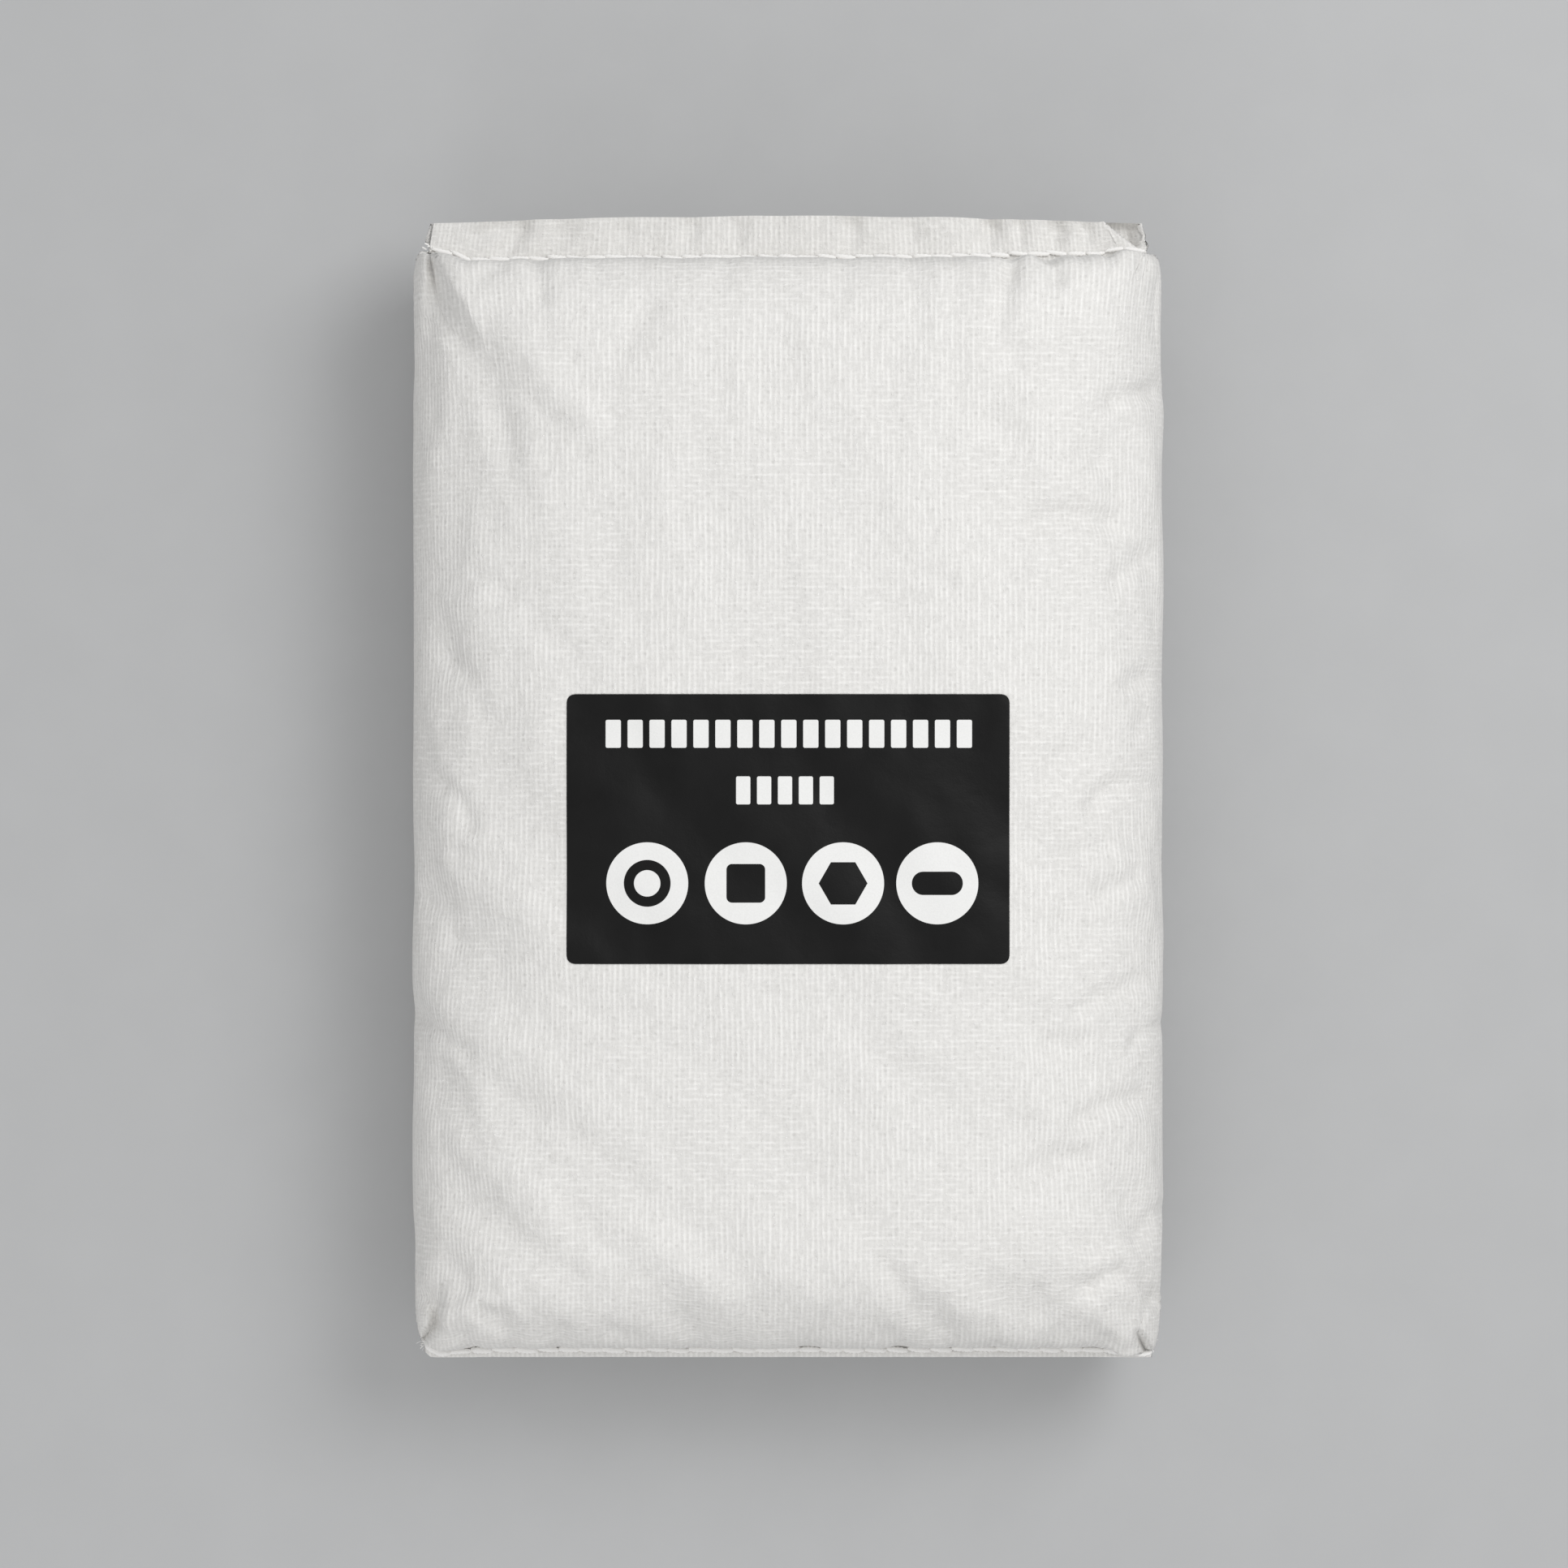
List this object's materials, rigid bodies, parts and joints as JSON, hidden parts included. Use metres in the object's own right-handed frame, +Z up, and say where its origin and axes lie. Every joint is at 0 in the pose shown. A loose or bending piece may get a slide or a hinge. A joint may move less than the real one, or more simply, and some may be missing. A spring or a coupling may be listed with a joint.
{
  "type": "filled cement sack",
  "caption": "Filled woven sack of dry cement mix, lying flat, with a gusset down each side, sewn hems at both ends and a plain dark label on the upper face.",
  "frame": {"origin": "on the floor, under the centre of the sack's bounding box", "axes": "+Z up out of the upper, labelled face; +Y along the sack's length towards the mouth, the end with the wide hem; +X to the right when the upper face is seen with the mouth at the top"},
  "size_m": [0.3, 0.457, 0.1106],
  "materials": {
    "sack_cloth": "woven plastic tape with a faint sheen",
    "closing_thread": "matt twisted thread",
    "label_film": "satin film"
  },
  "bodies": {
    "root": {"filled_sack": "sack_cloth", "mouth_stitching": "closing_thread", "foot_stitching": "closing_thread", "label": "label_film"}
  },
  "joints": []
}
